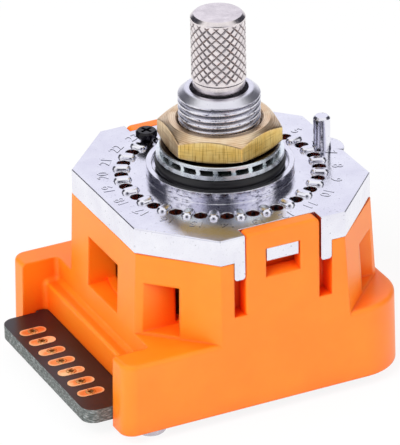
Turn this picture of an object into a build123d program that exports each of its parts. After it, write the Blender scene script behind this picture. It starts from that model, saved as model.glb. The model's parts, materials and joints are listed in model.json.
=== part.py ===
from build123d import *
import math
import os

# A 24-position coded rotary switch with a threaded bushing, an adjustable stop and a board in its foot.
# Millimetres. The origin is on the shaft's axis in the panel seat, the top of the plate's collar.
# Z points up along the shaft. X runs away from the solder pads, Y across them.

# Mounting plate
collar_height = 1.3
collar_radius = 8.1
plate_thickness = 1.5
plate_half_x = 14.2
corner_cut_x = 6.75
corner_cut_y = 7.1
skirt_depth = 2.95
skirt_wall = 0.9
skirt_proud = 0.05
plate_edge_rounding = 0.15
bushing_radius = 4.5
bushing_rise = 8.1
bushing_chamfer = 0.45
thread_pitch = 0.75
mouth_radius = 3.3
mouth_depth = 1.2
leg_width = 1.4
leg_depth = 5.15
leg_rounding = 0.35
catch_width = 3.8
catch_top = 2.2
catch_height = 1.5
ear_radius = 2.6

# Ring of stop holes and the ribs between them
positions = 24
stop_circle_radius = 10.8
stop_hole_radius = 0.75
rib_length = 2.0
rib_width = 1.2
rib_height = 0.45
rib_rounding = 0.42

# O-ring groove in the collar and the rings that seal
groove_inner_radius = 5.75
groove_outer_radius = 7.5
groove_depth = 0.55
panel_ring_section = 1.5
shaft_ring_section = 1.0

# Washers and nut on the bushing
flat_washer_radius = 7.0
flat_washer_thickness = 0.5
lock_washer_radius = 6.8
lock_washer_sheet = 0.45
lock_tooth_height = 0.4
lock_tooth_width = 1.1
lock_tooth_length = 1.0
lock_tooth_count = 20
nut_across_flats = 12.0
nut_thickness = 3.0
nut_turn = -6.3
nut_chamfer_angle = 30.0
nut_chamfer_radius = 5.75

# Shaft
shaft_radius = 3.0
shaft_rise = 17.6
shaft_top_chamfer = 0.55
neck_radius = 2.84
neck_length = 2.4
seal_depth_in_bushing = 2.6
retainer_groove_radius = 2.35
key_radius = 2.6
key_flat = 1.9
journal_radius = 1.5

# Locating pin and stop screw
pin_radius = 0.95
pin_root_radius = 1.05
pin_root_rise = 1.2
pin_stake_radius = 0.8
pin_rise = 2.7
pin_x = 12.3
pin_y = -0.3
pin_chamfer = 0.25
stop_hole_in_use = 7
stop_screw_head_radius = 1.2
stop_screw_head_height = 0.65
stop_screw_head_gap = 0.94
stop_screw_neck_radius = 0.62
stop_screw_cone = 0.7
stop_screw_rounding = 0.2
stop_screw_point = 0.2
stop_screw_turn = 20.0
stop_recess_reach = 0.75
stop_recess_depth = 0.45
recess_width = 0.35

# Running parts under the plate
thrust_washer_thickness = 0.3
thrust_washer_radius = 4.8
retainer_thickness = 0.5
retainer_radius = 4.4
retainer_band_gap = 0.35
retainer_lobe_width = 2.2
retainer_mouth_width = 2.6
stop_disc_thickness = 1.0
stop_disc_radius = 6.2
stop_travel = 165.0
detent_wheel_thickness = 2.6
detent_crest_radius = 6.9
notch_depth = 0.3
ball_radius = 1.25
spring_coil_radius = 0.95
spring_wire_radius = 0.15
spring_turns = 5
spring_seat_depth = 0.1
channel_end_wall = 1.1

# Housing
tower_inset = 0.05
tower_corner_cut_y = 6.85
tower_lean_left = 0.4
tower_lean_right = 0.65
ledge_depth = 12.5
base_height = 8.4
base_left = 18.84
base_right = 15.72
base_half_y = 15.0
base_lean = 0.2
base_corner_left = 1.5
base_corner_right = 5.6
base_top_rounding = 0.5
barrel_clearance = 0.15
barrel_wall = 1.0
web_thickness = 1.2
wall = 1.5
tongue_half_width = 4.45
tongue_thickness = 1.5
tongue_rounding = 0.7
tongue_edge_rounding = 0.3
tongue_gap = 0.65
slot_depth = 9.55
tongue_window_half = 2.05
tongue_window_bottom = 5.6
tongue_sill_slope = 0.5
pocket_top = 6.35
pocket_bottom = 12.2
side_pocket_half = 3.75
side_pocket_depth = 2.3
corner_pocket_near = 8.8
corner_pocket_width = 2.85
pocket_sill = 0.3
corner_slot_outer = 9.9
corner_slot_width = 2.5
corner_slot_overlap = 1.0
notch_half = 11.8
strip_wall_x = 16.1
strip_wall_rise = 3.35
strip_rounding = 0.3
bay_corner_rounding = 0.6
boss_radius = 2.3
rib_wall = 1.0
base_rib_angles = (0, 25, 65, 115, 160, 200, 245, 295, 335)
guide_half_width = 3.2
guide_inner_radius = 8.6

# Board, cover and their screws
board_thickness = 1.6
board_recess = 2.25
board_inset_left = 1.54
board_inset_right = 1.72
board_inset_y = 1.0
board_corner_left = 1.6
board_corner_right = 4.5
tab_beyond_base = 3.11
tab_side_gap = 0.3
tab_corner = 1.5
pad_count = 7
pad_pitch = 2.54
pad_length = 3.1
pad_width = 1.4
pad_inset = 2.3
pad_hole_radius = 0.4
copper_thickness = 0.05
screw_radius = 0.95
screw_length = 4.8
screw_head_radius = 1.75
screw_head_height = 1.3
screw_head_rounding = 0.58
screw_tip_room = 0.5
base_recess_reach = 0.9
base_recess_depth = 0.7
tab_screw_inset_x = 3.94
tab_screw_inset_y = 2.5
far_screw_inset_x = 5.12
far_screw_inset_y = 4.7

# Contact carrier and tracks
rotor_clearance = 0.5
rotor_thickness = 1.4
rotor_hub_radius = 4.2
rotor_rib_count = 6
rotor_rib_width = 1.0
rotor_rib_height = 3.0
rotor_rib_end_height = 0.4
rotor_rib_inset = 1.0
contact_sheet = 0.2
contact_gap = 1.6
track_edge_inset = 1.0
track_pitch = 1.0
track_width = 0.7
track_bus_width = 0.2
code_bits = 5
finger_width = 0.5
fingers_per_comb = 3
comb_reach = 4.0
comb_tab_length = 1.4
comb_tab_margin = 0.6
finger_bend = 2.1
finger_contact_length = 0.4
finger_tip_length = 0.7
finger_tip_rise = 0.5

# Clearances
running = 0.03
snug = 0.02
seated = 0.05
loose = 0.1

# Sizes worked out from those above
plate_half_y = base_half_y + skirt_proud
tower_half_x = plate_half_x - tower_inset
bay_wall_x = tower_half_x + tower_lean_left
barrel_radius = stop_circle_radius + stop_hole_radius + barrel_clearance
rotor_radius = barrel_radius - rotor_clearance
track_inner_radius = rotor_radius - track_edge_inset - code_bits * track_pitch
engaged_radius = bushing_radius - 3 / 8 * math.cos(math.radians(30)) * thread_pitch
board_left = base_left - board_inset_left
board_right = base_right - board_inset_right
board_half_y = base_half_y - board_inset_y
tab_reach = base_left + tab_beyond_base
tab_half_width = notch_half - tab_side_gap
pad_x = tab_reach - pad_inset
tab_screw_x = tab_screw_inset_x - base_left
tab_screw_y = base_half_y - tab_screw_inset_y
far_screw_x = base_right - far_screw_inset_x
far_screw_y = base_half_y - far_screw_inset_y

# Levels, worked out from the sizes above
plate_top = -collar_height
plate_under = plate_top - plate_thickness
skirt_bottom = plate_top - skirt_depth
ledge_z = plate_top - ledge_depth
base_bottom = ledge_z - base_height
board_top = base_bottom + board_recess
board_bottom = board_top - board_thickness
washer_floor = -groove_depth + panel_ring_section + snug
lock_floor = washer_floor + flat_washer_thickness
nut_bottom = lock_floor + lock_tooth_height + lock_washer_sheet
nut_top = nut_bottom + nut_thickness
retainer_top = plate_under - thrust_washer_thickness - seated
retainer_bottom = retainer_top - retainer_thickness
stop_disc_top = retainer_bottom - loose
stop_disc_bottom = stop_disc_top - stop_disc_thickness
wheel_top = stop_disc_bottom - snug
wheel_bottom = wheel_top - detent_wheel_thickness
detent_z = (wheel_top + wheel_bottom) / 2
web_top = wheel_bottom - loose
web_bottom = web_top - web_thickness
contact_plane = board_top + copper_thickness + running
rotor_under = contact_plane + contact_gap
rotor_top = rotor_under + rotor_thickness
channel_end = tower_half_x - channel_end_wall
ball_rest_radius = detent_crest_radius + ball_radius + running
stop_angle = stop_hole_in_use * 360.0 / positions + 360.0 / positions / 2

# Lengths by which shapes that are cut or joined run past each other, which leave no size on the part
far = 60.0
past = 1.0
lap = 0.5


def tube(radius, low, high, hole=0.0):
    """Round disc or ring between two levels."""
    body = Pos(0, 0, low) * Cylinder(radius, high - low, align=(Align.CENTER, Align.CENTER, Align.MIN))
    if hole:
        depth = high - low + 2 * past
        drill = Cylinder(hole, depth, align=(Align.CENTER, Align.CENTER, Align.MIN))
        body -= Pos(0, 0, low - past) * drill
    return body


def block(x_low, x_high, y_low, y_high, z_low, z_high):
    """Box given by its limits along each axis."""
    size = (x_high - x_low, y_high - y_low, z_high - z_low)
    return Pos(x_low, y_low, z_low) * Box(*size, align=(Align.MIN, Align.MIN, Align.MIN))


def slab(sketch, low, high):
    """Sketch in the XY plane raised from one level to another."""
    return extrude(Pos(0, 0, low) * sketch, amount=high - low)


def both_sides(body):
    """Body and its mirror image across the XZ plane."""
    return body + mirror(body, about=Plane.XZ)


def octagon(half_x, half_y, cut_y, lean_left=0.0, lean_right=0.0):
    """Rectangle with four cut corners. The left end leans out alone, the right end with its corner faces."""
    left = half_x + lean_left
    right = half_x + lean_right
    lower = [
        (-left, -half_y + cut_y),
        (-half_x + corner_cut_x, -half_y),
        (right - corner_cut_x, -half_y),
        (right, -half_y + cut_y),
    ]
    upper = [(x, -y) for x, y in reversed(lower)]
    return Polygon(*lower, *upper, align=None)


def rounded_outline(left, right, half_y, corner_left, corner_right):
    """Rectangle with small corners at the pads' end and large ones opposite."""
    outline = Polygon((-left, -half_y), (right, -half_y), (right, half_y), (-left, half_y), align=None)
    outline = fillet(outline.vertices().sort_by(Axis.X)[:2], corner_left)
    return fillet(outline.vertices().sort_by(Axis.X)[-2:], corner_right)


def rounded_base(extra):
    """Footprint of the base."""
    left = base_left + extra
    right = base_right + extra
    return rounded_outline(left, right, base_half_y, base_corner_left, base_corner_right)


def board_outline(clearance=0.0):
    """Outline of the board inside the base."""
    left = board_left + clearance
    right = board_right + clearance
    return rounded_outline(left, right, board_half_y + clearance, board_corner_left, board_corner_right)


def board_screw_spots():
    """Centres of the four screws that hold the board and the cover."""
    return {
        "front_left": (tab_screw_x, -tab_screw_y),
        "back_left": (tab_screw_x, tab_screw_y),
        "front_right": (far_screw_x, -far_screw_y),
        "back_right": (far_screw_x, far_screw_y),
    }


def key_profile(clearance=0.0):
    """Round section with one flat, for the keyed length of the shaft and the bores on it."""
    section = Circle(key_radius + clearance)
    flat = key_flat + clearance
    return section - Pos(flat + key_radius, 0) * Rectangle(2 * key_radius, 4 * key_radius)


def cross_recess(reach, depth, top):
    """Crossed slots cut down from a screw head's top."""
    slot = Box(2 * reach, recess_width, depth, align=(Align.CENTER, Align.CENTER, Align.MAX))
    return Pos(0, 0, top) * (slot + Rot(0, 0, 90) * slot)


def round_array(body, count, start=0.0):
    """Copies of a body at equal angles about the shaft's axis."""
    step = 360.0 / count
    return [Rot(0, 0, start + step * index) * body for index in range(count)]


# Housing

def tongue_cut(clearance):
    """Space round a latch tongue: the two side slots and the gap behind it."""
    reach = tongue_half_width + clearance
    outer = reach + leg_width
    y_out = -base_half_y - past
    y_back = -base_half_y + tongue_thickness
    bottom = plate_top - slot_depth
    slots = block(-outer, -reach, y_out, y_back + tongue_gap, bottom, far)
    slots += block(reach, outer, y_out, y_back + tongue_gap, bottom, far)
    return slots + block(-outer, outer, y_back, y_back + tongue_gap, bottom, far)


def tongue_window():
    """Window that takes the plate's catch, with a sill that slopes outwards."""
    y_out = -base_half_y
    y_in = y_out + tongue_thickness
    top = plate_top - catch_top + seated
    bottom = plate_top - tongue_window_bottom
    profile = Plane.YZ * Polygon(
        (y_out - past, top),
        (y_in + loose, top),
        (y_in + loose, bottom + tongue_sill_slope),
        (y_in, bottom + tongue_sill_slope),
        (y_out, bottom),
        (y_out - past, bottom),
        align=None,
    )
    return extrude(profile, amount=tongue_window_half, both=True)


def tower():
    """Eight-sided tower, with the rim that goes inside the plate's skirt and the two tongues."""
    foot = octagon(tower_half_x, base_half_y, tower_corner_cut_y, tower_lean_left, tower_lean_right)
    upper = Pos(0, 0, skirt_bottom - seated) * octagon(tower_half_x, base_half_y, tower_corner_cut_y)
    body = loft([Pos(0, 0, ledge_z) * foot, upper])
    body += slab(foot, board_top + lap, ledge_z)
    rim_inset = skirt_wall + loose
    rim = octagon(plate_half_x - rim_inset, plate_half_y - rim_inset, corner_cut_y)
    body += slab(rim, skirt_bottom - seated - lap, plate_under - seated)
    body -= both_sides(tongue_cut(0.0))
    y_back = -base_half_y + tongue_thickness
    outline = Rectangle(2 * tongue_half_width, slot_depth + past, align=(Align.CENTER, Align.MIN))
    corners = outline.vertices().sort_by(Axis.Y)[-2:]
    outline = fillet(corners, tongue_rounding)
    face = Plane((0, y_back, plate_top - slot_depth - past), x_dir=(1, 0, 0), z_dir=(0, -1, 0)) * outline
    tongue = extrude(face, amount=tongue_thickness)
    front = tongue.faces().sort_by(Axis.Y)[0].edges()
    tongue = fillet(front.sort_by(Axis.Z)[1:], tongue_edge_rounding)
    keep_clear = block(-tongue_half_width - leg_width, tongue_half_width + leg_width,
                       -far, y_back + tongue_gap, plate_top - slot_depth, far)
    body -= both_sides(keep_clear)
    body += both_sides(tongue)
    return body - both_sides(tongue_window())


def base_shell():
    """Wider foot with rounded upper edges."""
    shell = loft([Pos(0, 0, base_bottom) * rounded_base(base_lean), Pos(0, 0, ledge_z) * rounded_base(0.0)])
    rim = shell.faces().sort_by(Axis.Z)[-1].edges()
    return fillet(rim, base_top_rounding)


def pad_bay():
    """Bay above the board's tab: a low strip wall, a shelf behind it and the tower's end down to it."""
    strip_top = board_top + strip_wall_rise
    profile = Polygon(
        (-far, base_bottom - past),
        (-strip_wall_x, base_bottom - past),
        (-strip_wall_x, strip_top),
        (-bay_wall_x, strip_top),
        (-bay_wall_x, ledge_z + past),
        (-far, ledge_z + past),
        align=None,
    )
    edge = profile.vertices().sort_by_distance((-strip_wall_x, strip_top))[0]
    profile = fillet(edge, strip_rounding)
    corner = profile.vertices().sort_by_distance((-bay_wall_x, strip_top))[0]
    profile = fillet(corner, bay_corner_rounding)
    bay = extrude(Plane.XZ * profile, amount=notch_half, both=True)
    uprights = bay.edges().filter_by(Axis.Z).sort_by(Axis.X)[-2:]
    return fillet(uprights, bay_corner_rounding)


def pockets():
    """Cored pockets in the two end faces and the four corner faces, drawn along X, open into the barrel."""
    low = plate_top - pocket_bottom
    high = plate_top - pocket_top
    bottom_of_end = tower_half_x - side_pocket_depth
    end = block(-far, -bottom_of_end, -side_pocket_half, side_pocket_half, low, high)
    corner_far = corner_pocket_near + corner_pocket_width
    corner = block(-far, 0, -corner_far, -corner_pocket_near, low, high)
    cut = end + both_sides(corner)
    cut -= tube(barrel_radius + barrel_wall, low - past, high + past)
    sill = low + pocket_sill
    window = block(-far, past - barrel_radius, -side_pocket_half, side_pocket_half, sill, web_bottom)
    window &= tube(bottom_of_end + past, sill - past, web_bottom + past)
    x_low = -corner_slot_outer
    y_low = -corner_pocket_near - corner_slot_overlap
    slot = block(x_low, x_low + corner_slot_width, y_low, y_low + corner_slot_width, sill, web_bottom)
    cut += window + both_sides(slot)
    return cut + mirror(cut, about=Plane.YZ)


def base_cavity():
    """Hollow in the base beside the barrel, open downwards, with the screw bosses left standing."""
    top = ledge_z - wall
    left = bay_wall_x - wall
    low = board_top - past
    hollow = block(-left, base_right - wall, -base_half_y + wall, base_half_y - wall, low, top)
    hollow &= slab(offset(rounded_base(0.0), -wall), low, top)
    hollow -= tube(barrel_radius + barrel_wall, low - past, top + past)
    for x, y in board_screw_spots().values():
        hollow -= Pos(x, y, 0) * tube(boss_radius, low - past, top + past)
    half = rib_wall / 2
    for angle in base_rib_angles:
        hollow -= Rot(0, 0, angle) * block(0, far, -half, half, low - past, top + past)
    return hollow


def ball_channel():
    """Channel for one detent ball and its spring, open upwards, on the -X side."""
    half = ball_radius + seated
    floor = detent_z - half
    return block(-channel_end, -guide_inner_radius + past, -half, half, floor, far)


def ball_guide():
    """Block inside the barrel that carries one channel, on the -X side."""
    low = web_bottom + lap
    high = detent_z + ball_radius
    guide = block(-barrel_radius - lap, -guide_inner_radius, -guide_half_width, guide_half_width, low, high)
    return guide & tube(barrel_radius + lap, low - past, high + past)


def make_housing():
    """Orange moulding."""
    body = tower() + base_shell()
    body -= pad_bay()
    body -= tube(barrel_radius, web_top, far)
    body -= tube(barrel_radius, board_top - past, web_bottom)
    body -= base_cavity()
    body -= pockets()
    guide = ball_guide()
    body += guide
    body += mirror(guide, about=Plane.YZ)
    channel = ball_channel()
    body -= channel
    body -= mirror(channel, about=Plane.YZ)
    body -= tube(rotor_hub_radius + running, web_bottom - past, web_top + past)
    body -= slab(board_outline(loose), base_bottom - past, board_top)
    body -= block(-far, -board_left + past, -notch_half, notch_half, base_bottom - past, board_top)
    bore_top = base_bottom + screw_length + screw_tip_room
    for x, y in board_screw_spots().values():
        body -= Pos(x, y, 0) * tube(screw_radius + snug, base_bottom - past, bore_top)
    return body


# Mounting plate

def plate_recess(reach_y):
    """Recess of one latch tongue in the plate's edge."""
    half = tongue_half_width + loose
    return block(-half, half, -far, -reach_y, -far, plate_top + past)


def rib():
    """Rounded radial rib beside the stop holes, lying along X at the hole circle."""
    bar = slab(SlotOverall(rib_length, rib_width), plate_top - lap, plate_top + rib_height)
    top = bar.faces().sort_by(Axis.Z)[-1]
    bar = fillet(top.edges(), rib_rounding)
    return Pos(stop_circle_radius, 0, 0) * bar


def make_mounting_plate():
    """Die-cast plate with skirt, legs, catches, collar and threaded bushing."""
    outer = slab(octagon(plate_half_x, plate_half_y, corner_cut_y), skirt_bottom, plate_top)
    edges = outer.faces().sort_by(Axis.Z)[-1].edges() + outer.edges().filter_by(Axis.Z)
    outer = fillet(edges, plate_edge_rounding)
    inner = octagon(plate_half_x - skirt_wall, plate_half_y - skirt_wall, corner_cut_y)
    body = outer - slab(inner, skirt_bottom - past, plate_under)
    recess_y = base_half_y - tongue_thickness - loose
    body -= both_sides(plate_recess(recess_y))
    legs_out = tongue_half_width + leg_width
    legs_in = tongue_half_width + loose
    leg = block(legs_in, legs_out - seated, -plate_half_y, -plate_half_y + skirt_wall,
                plate_top - leg_depth, plate_under)
    leg = fillet(leg.edges().filter_by(Axis.Y).sort_by(Axis.Z)[:2], leg_rounding)
    body += both_sides(leg)
    body += both_sides(mirror(leg, about=Plane.YZ))
    back_wall = block(-legs_in, legs_in, -recess_y, -recess_y + tongue_gap - 2 * loose,
                      plate_top - catch_top - catch_height, plate_under)
    catch = block(-catch_width / 2, catch_width / 2, -base_half_y + loose, -recess_y,
                  plate_top - catch_top - catch_height, plate_top - catch_top)
    body += both_sides(back_wall + catch)
    body += Pos(pin_x, 0, 0) * tube(ear_radius, plate_under, plate_top)
    body += tube(collar_radius, plate_under, 0)
    body -= tube(groove_outer_radius, -groove_depth, past, groove_inner_radius)
    bushing = tube(bushing_radius, nut_top + loose, bushing_rise)
    bushing = chamfer(bushing.edges().sort_by(Axis.Z)[-1], bushing_chamfer)
    body += bushing + tube(engaged_radius, plate_under, nut_top + loose + lap)
    body += round_array(rib(), positions)
    hole = Pos(stop_circle_radius, 0, 0) * tube(stop_hole_radius, plate_under - past, plate_top + past)
    body -= round_array(hole, positions, 180.0 / positions)
    body -= tube(shaft_radius + running, -far, far)
    body -= tube(mouth_radius, bushing_rise - mouth_depth, far)
    pin_room = tube(pin_stake_radius + snug, plate_under - past, plate_top + past)
    pin_room += tube(pin_root_radius + snug, plate_top, 0)
    return body - Pos(pin_x, pin_y, 0) * pin_room


# Pieces on the bushing

def ring_section(section, middle_radius, level):
    """Round ring of a seal."""
    return Pos(0, 0, level) * Torus(middle_radius, section / 2)


def make_panel_o_ring():
    """Seal in the collar's groove."""
    middle = groove_outer_radius - loose - panel_ring_section / 2
    return ring_section(panel_ring_section, middle, -groove_depth + panel_ring_section / 2)


def make_flat_washer():
    """Plain washer on the seal."""
    return tube(flat_washer_radius, washer_floor, lock_floor, bushing_radius + loose)


def make_lock_washer():
    """Toothed washer, a ring on a row of short teeth."""
    ring_floor = lock_floor + lock_tooth_height
    inner = lock_washer_radius - lock_tooth_length
    washer = tube(lock_washer_radius, lock_floor, nut_bottom, bushing_radius + loose)
    washer -= tube(inner, lock_floor - past, ring_floor)
    gap_angle = math.pi / lock_tooth_count
    half = lock_washer_radius * gap_angle - lock_tooth_width / 2
    gap = block(inner - past, far, -half, half, lock_floor - past, ring_floor)
    return washer - round_array(gap, lock_tooth_count, 180.0 / lock_tooth_count)


def make_hex_nut():
    """Hexagonal nut with its corners turned off at both faces. It meets the bushing at the pitch size."""
    corner_radius = nut_across_flats / 2 / math.cos(math.radians(30))
    blank = slab(RegularPolygon(corner_radius, 6), nut_bottom, nut_top)
    drop = (corner_radius - nut_chamfer_radius) * math.tan(math.radians(nut_chamfer_angle))
    profile = Plane.XZ * Polygon(
        (0, nut_bottom),
        (nut_chamfer_radius, nut_bottom),
        (corner_radius, nut_bottom + drop / 2),
        (corner_radius, nut_top - drop),
        (nut_chamfer_radius, nut_top),
        (0, nut_top),
        align=None,
    )
    blank &= revolve(profile, Axis.Z)
    blank -= tube(engaged_radius + snug, nut_bottom - past, nut_top + past)
    return Rot(0, 0, nut_turn + 30) * blank


# Shaft and what turns with it

def make_shaft():
    """Stepped shaft: knurled head, plain neck, seal groove, retainer groove, keyed length and journal."""
    neck_top = bushing_rise - mouth_depth + neck_length
    seal_z = bushing_rise - mouth_depth - seal_depth_in_bushing
    seal_half = shaft_ring_section / 2 + seated
    seal_floor = shaft_radius - shaft_ring_section
    chamfer_z = shaft_rise - shaft_top_chamfer
    journal_top = board_top + 2 * loose
    journal_end = board_bottom + loose
    profile = Plane.XZ * Polygon(
        (0, shaft_rise),
        (shaft_radius - shaft_top_chamfer, shaft_rise),
        (shaft_radius, chamfer_z),
        (shaft_radius, neck_top),
        (neck_radius, neck_top - (shaft_radius - neck_radius)),
        (neck_radius, bushing_rise - mouth_depth),
        (shaft_radius, bushing_rise - mouth_depth - (shaft_radius - neck_radius)),
        (shaft_radius, seal_z + seal_half),
        (seal_floor, seal_z + seal_half),
        (seal_floor, seal_z - seal_half),
        (shaft_radius, seal_z - seal_half),
        (shaft_radius, retainer_top + seated),
        (retainer_groove_radius, retainer_top + seated),
        (retainer_groove_radius, retainer_bottom - seated),
        (shaft_radius, retainer_bottom - seated),
        (shaft_radius, stop_disc_top),
        (0, stop_disc_top),
        align=None,
    )
    body = revolve(profile, Axis.Z)
    body += slab(key_profile(), journal_top, stop_disc_top)
    return body + tube(journal_radius, journal_end, journal_top)


def make_shaft_seal():
    """Small ring in the shaft's groove inside the bushing."""
    seal_z = bushing_rise - mouth_depth - seal_depth_in_bushing
    return ring_section(shaft_ring_section, shaft_radius - shaft_ring_section / 2, seal_z)


def make_thrust_washer():
    """Thin washer between the plate and the retaining ring."""
    low = plate_under - thrust_washer_thickness
    return tube(thrust_washer_radius, low, plate_under, shaft_radius + running)


def make_retaining_ring():
    """Open ring with three inner lobes, snapped into the shaft's groove."""
    inner = retainer_groove_radius + snug
    band_inner = shaft_radius + retainer_band_gap
    band_middle = (band_inner + retainer_radius) / 2
    body = tube(retainer_radius, retainer_bottom, retainer_top, band_inner)
    half = retainer_lobe_width / 2
    lobe = block(0, band_middle, -half, half, retainer_bottom, retainer_top)
    lobe -= tube(inner, retainer_bottom - past, retainer_top + past)
    body += round_array(lobe, 3)
    half = retainer_mouth_width / 2
    mouth = block(0, far, -half, half, retainer_bottom - past, retainer_top + past)
    return body - Rot(0, 0, 60) * mouth


def make_stop_disc():
    """Disc with one lug. The lug's flanks meet the stop screw at both ends of the travel."""
    reach = stop_circle_radius + stop_hole_radius
    body = tube(stop_disc_radius, stop_disc_bottom, stop_disc_top)
    free = math.radians(180 - stop_travel)
    half = stop_circle_radius * math.sin(free) - (stop_hole_radius - snug) - seated
    lug = block(0, reach, -half, half, stop_disc_bottom, stop_disc_top)
    lug &= tube(reach, stop_disc_bottom - past, stop_disc_top + past)
    body += Rot(0, 0, stop_angle + 180) * lug
    return body - slab(key_profile(snug), stop_disc_bottom - past, stop_disc_top + past)


def make_detent_wheel():
    """Wheel with one rounded notch for each position."""
    body = tube(detent_crest_radius, wheel_bottom, wheel_top)
    notch_radius = ball_radius + seated
    centre = detent_crest_radius + notch_radius - notch_depth - seated
    notch = Pos(centre, 0, 0) * tube(notch_radius, wheel_bottom - past, wheel_top + past)
    body -= round_array(notch, positions)
    return body - slab(key_profile(snug), wheel_bottom - past, wheel_top + past)


def make_rotor():
    """Contact carrier: hub that runs in the web, ribs and disc."""
    body = tube(rotor_radius, rotor_under, rotor_top)
    body += tube(rotor_hub_radius, rotor_under, wheel_bottom - snug)
    half = rotor_rib_width / 2
    profile = Plane.XZ * Polygon(
        (rotor_hub_radius - lap, rotor_top - lap),
        (rotor_radius - rotor_rib_inset, rotor_top - lap),
        (rotor_radius - rotor_rib_inset, rotor_top + rotor_rib_end_height),
        (rotor_hub_radius - lap, rotor_top + rotor_rib_height),
        align=None,
    )
    body += round_array(extrude(profile, amount=half, both=True), rotor_rib_count)
    return body - slab(key_profile(snug), rotor_under - past, wheel_bottom + past)


def make_contact_comb(first_track, side):
    """Sheet comb under the rotor with three spring fingers, one for every second track."""
    top = rotor_under
    low = contact_plane
    sheet = contact_sheet
    half = finger_contact_length / 2
    finger = Plane.XZ * Polygon(
        (-comb_reach, top),
        (-comb_reach, top - sheet),
        (-finger_bend, top - sheet),
        (-half, low),
        (half, low),
        (half + finger_tip_length, low + finger_tip_rise),
        (half + finger_tip_length - sheet, low + finger_tip_rise + sheet),
        (half - sheet / 2, low + sheet),
        (sheet / 2 - half, low + sheet),
        (sheet / 2 - finger_bend, top),
        align=None,
    )
    finger = extrude(finger, amount=finger_width / 2, both=True)
    radii = [track_radius(first_track + 2 * step) for step in range(fingers_per_comb)]
    inner = radii[0] - comb_tab_margin
    outer = radii[-1] + comb_tab_margin
    body = block(-comb_reach, -comb_reach + comb_tab_length, inner, outer, top - sheet, top)
    for radius in radii:
        body += Pos(0, radius, 0) * finger
    return body if side > 0 else Rot(0, 0, 180) * body


# Detent balls and springs, on the -X side, mirrored by half a turn for the other

def make_ball():
    """Steel ball, held just clear of the wheel's crests."""
    return Pos(-ball_rest_radius, 0, detent_z) * Sphere(ball_radius)


def make_spring():
    """Small coil spring between the ball and the channel's end."""
    start = ball_rest_radius + ball_radius - spring_seat_depth
    length = channel_end - start - 2 * spring_wire_radius - running
    coil = spring_coil_radius
    path = Helix(pitch=length / spring_turns, height=length, radius=coil)
    section = Plane(path @ 0, z_dir=path % 0) * Circle(spring_wire_radius)
    body = sweep(section, path=path)
    return Pos(-start - spring_wire_radius, 0, detent_z) * Rot(0, -90, 0) * body


# Board, copper and cover

def make_circuit_board():
    """Board with a tab that comes out under the strip wall."""
    tab_width = 2 * tab_half_width
    tab_length = tab_reach - board_left + 2 * tab_corner + past
    tab = Pos(-tab_reach + tab_length / 2, 0) * RectangleRounded(tab_length, tab_width, tab_corner)
    body = slab(board_outline() + tab, board_bottom, board_top)
    body -= tube(journal_radius + running, board_bottom - past, board_top + past)
    for x, y in board_screw_spots().values():
        body -= Pos(x, y, 0) * tube(screw_radius + loose, board_bottom - past, board_top + past)
    for index in range(pad_count):
        body -= pad_spot(index) * tube(pad_hole_radius, board_bottom - past, board_top + past)
    return body


def pad_spot(index):
    """Place of one pad on the tab."""
    return Pos(-pad_x, (index - (pad_count - 1) / 2) * pad_pitch, 0)


def make_pad(index):
    """Oblong copper pad with a hole."""
    outline = SlotOverall(pad_length, pad_width) - Circle(pad_hole_radius)
    return pad_spot(index) * slab(outline, board_top, board_top + copper_thickness)


def track_radius(index):
    """Middle radius of a contact track, counted from the inside."""
    return track_inner_radius + index * track_pitch


def ring_on_board(radius, width):
    """Thin copper ring on the board."""
    outer = radius + width / 2
    return tube(outer, board_top, board_top + copper_thickness, outer - width)


def make_code_ring(bit):
    """Track of one bit of a Gray code: a narrow bus with a wide arc wherever the bit is set."""
    radius = track_radius(bit + 1)
    bus = ring_on_board(radius - (track_width - track_bus_width) / 2, track_bus_width)
    wide = ring_on_board(radius, track_width)
    step = 360.0 / positions
    half = math.radians(step / 2)
    reach = radius + track_width
    wedge = Polygon(
        (0, 0),
        (reach, -reach * math.tan(half)),
        (reach, reach * math.tan(half)),
        align=None,
    )
    wedge = slab(wedge, board_top - past, board_top + past)
    body = bus
    for position in range(positions):
        gray = position ^ (position >> 1)
        if gray >> bit & 1:
            body += wide & (Rot(0, 0, position * step) * wedge)
    return body


def make_bottom_cover():
    """Thin sheet under the board, flush with the foot of the base."""
    body = slab(board_outline(), base_bottom, board_bottom)
    for x, y in board_screw_spots().values():
        body -= Pos(x, y, 0) * tube(screw_radius + loose, base_bottom - past, board_bottom + past)
    return body


# Screws and pin

def make_base_screw(x, y):
    """Pan head screw from below."""
    head_bottom = base_bottom - screw_head_height
    head = tube(screw_head_radius, head_bottom, base_bottom)
    head = fillet(head.edges().sort_by(Axis.Z)[0], screw_head_rounding)
    head -= mirror(cross_recess(base_recess_reach, base_recess_depth, -head_bottom), about=Plane.XY)
    body = head + tube(screw_radius, base_bottom, base_bottom + screw_length)
    return Pos(x, y, 0) * body


def make_stop_screw():
    """Small screw standing in one hole of the ring, its tip in the path of the stop disc's lug."""
    head_low = plate_top + stop_screw_head_gap
    head_high = head_low + stop_screw_head_height
    tip = stop_disc_bottom + loose
    thread = stop_hole_radius - snug
    profile = Plane.XZ * Polygon(
        (0, tip),
        (thread - stop_screw_point, tip),
        (thread, tip + stop_screw_point),
        (thread, plate_top),
        (stop_screw_neck_radius, plate_top + thread - stop_screw_neck_radius),
        (stop_screw_neck_radius, head_low - stop_screw_cone),
        (stop_screw_head_radius, head_low),
        (stop_screw_head_radius, head_high - stop_screw_rounding),
        (stop_screw_head_radius - stop_screw_rounding, head_high),
        (0, head_high),
        align=None,
    )
    body = revolve(profile, Axis.Z)
    body -= cross_recess(stop_recess_reach, stop_recess_depth, head_high)
    angle = math.radians(stop_angle)
    x = stop_circle_radius * math.cos(angle)
    y = stop_circle_radius * math.sin(angle)
    return Pos(x, y, 0) * Rot(0, 0, stop_screw_turn) * body


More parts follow.
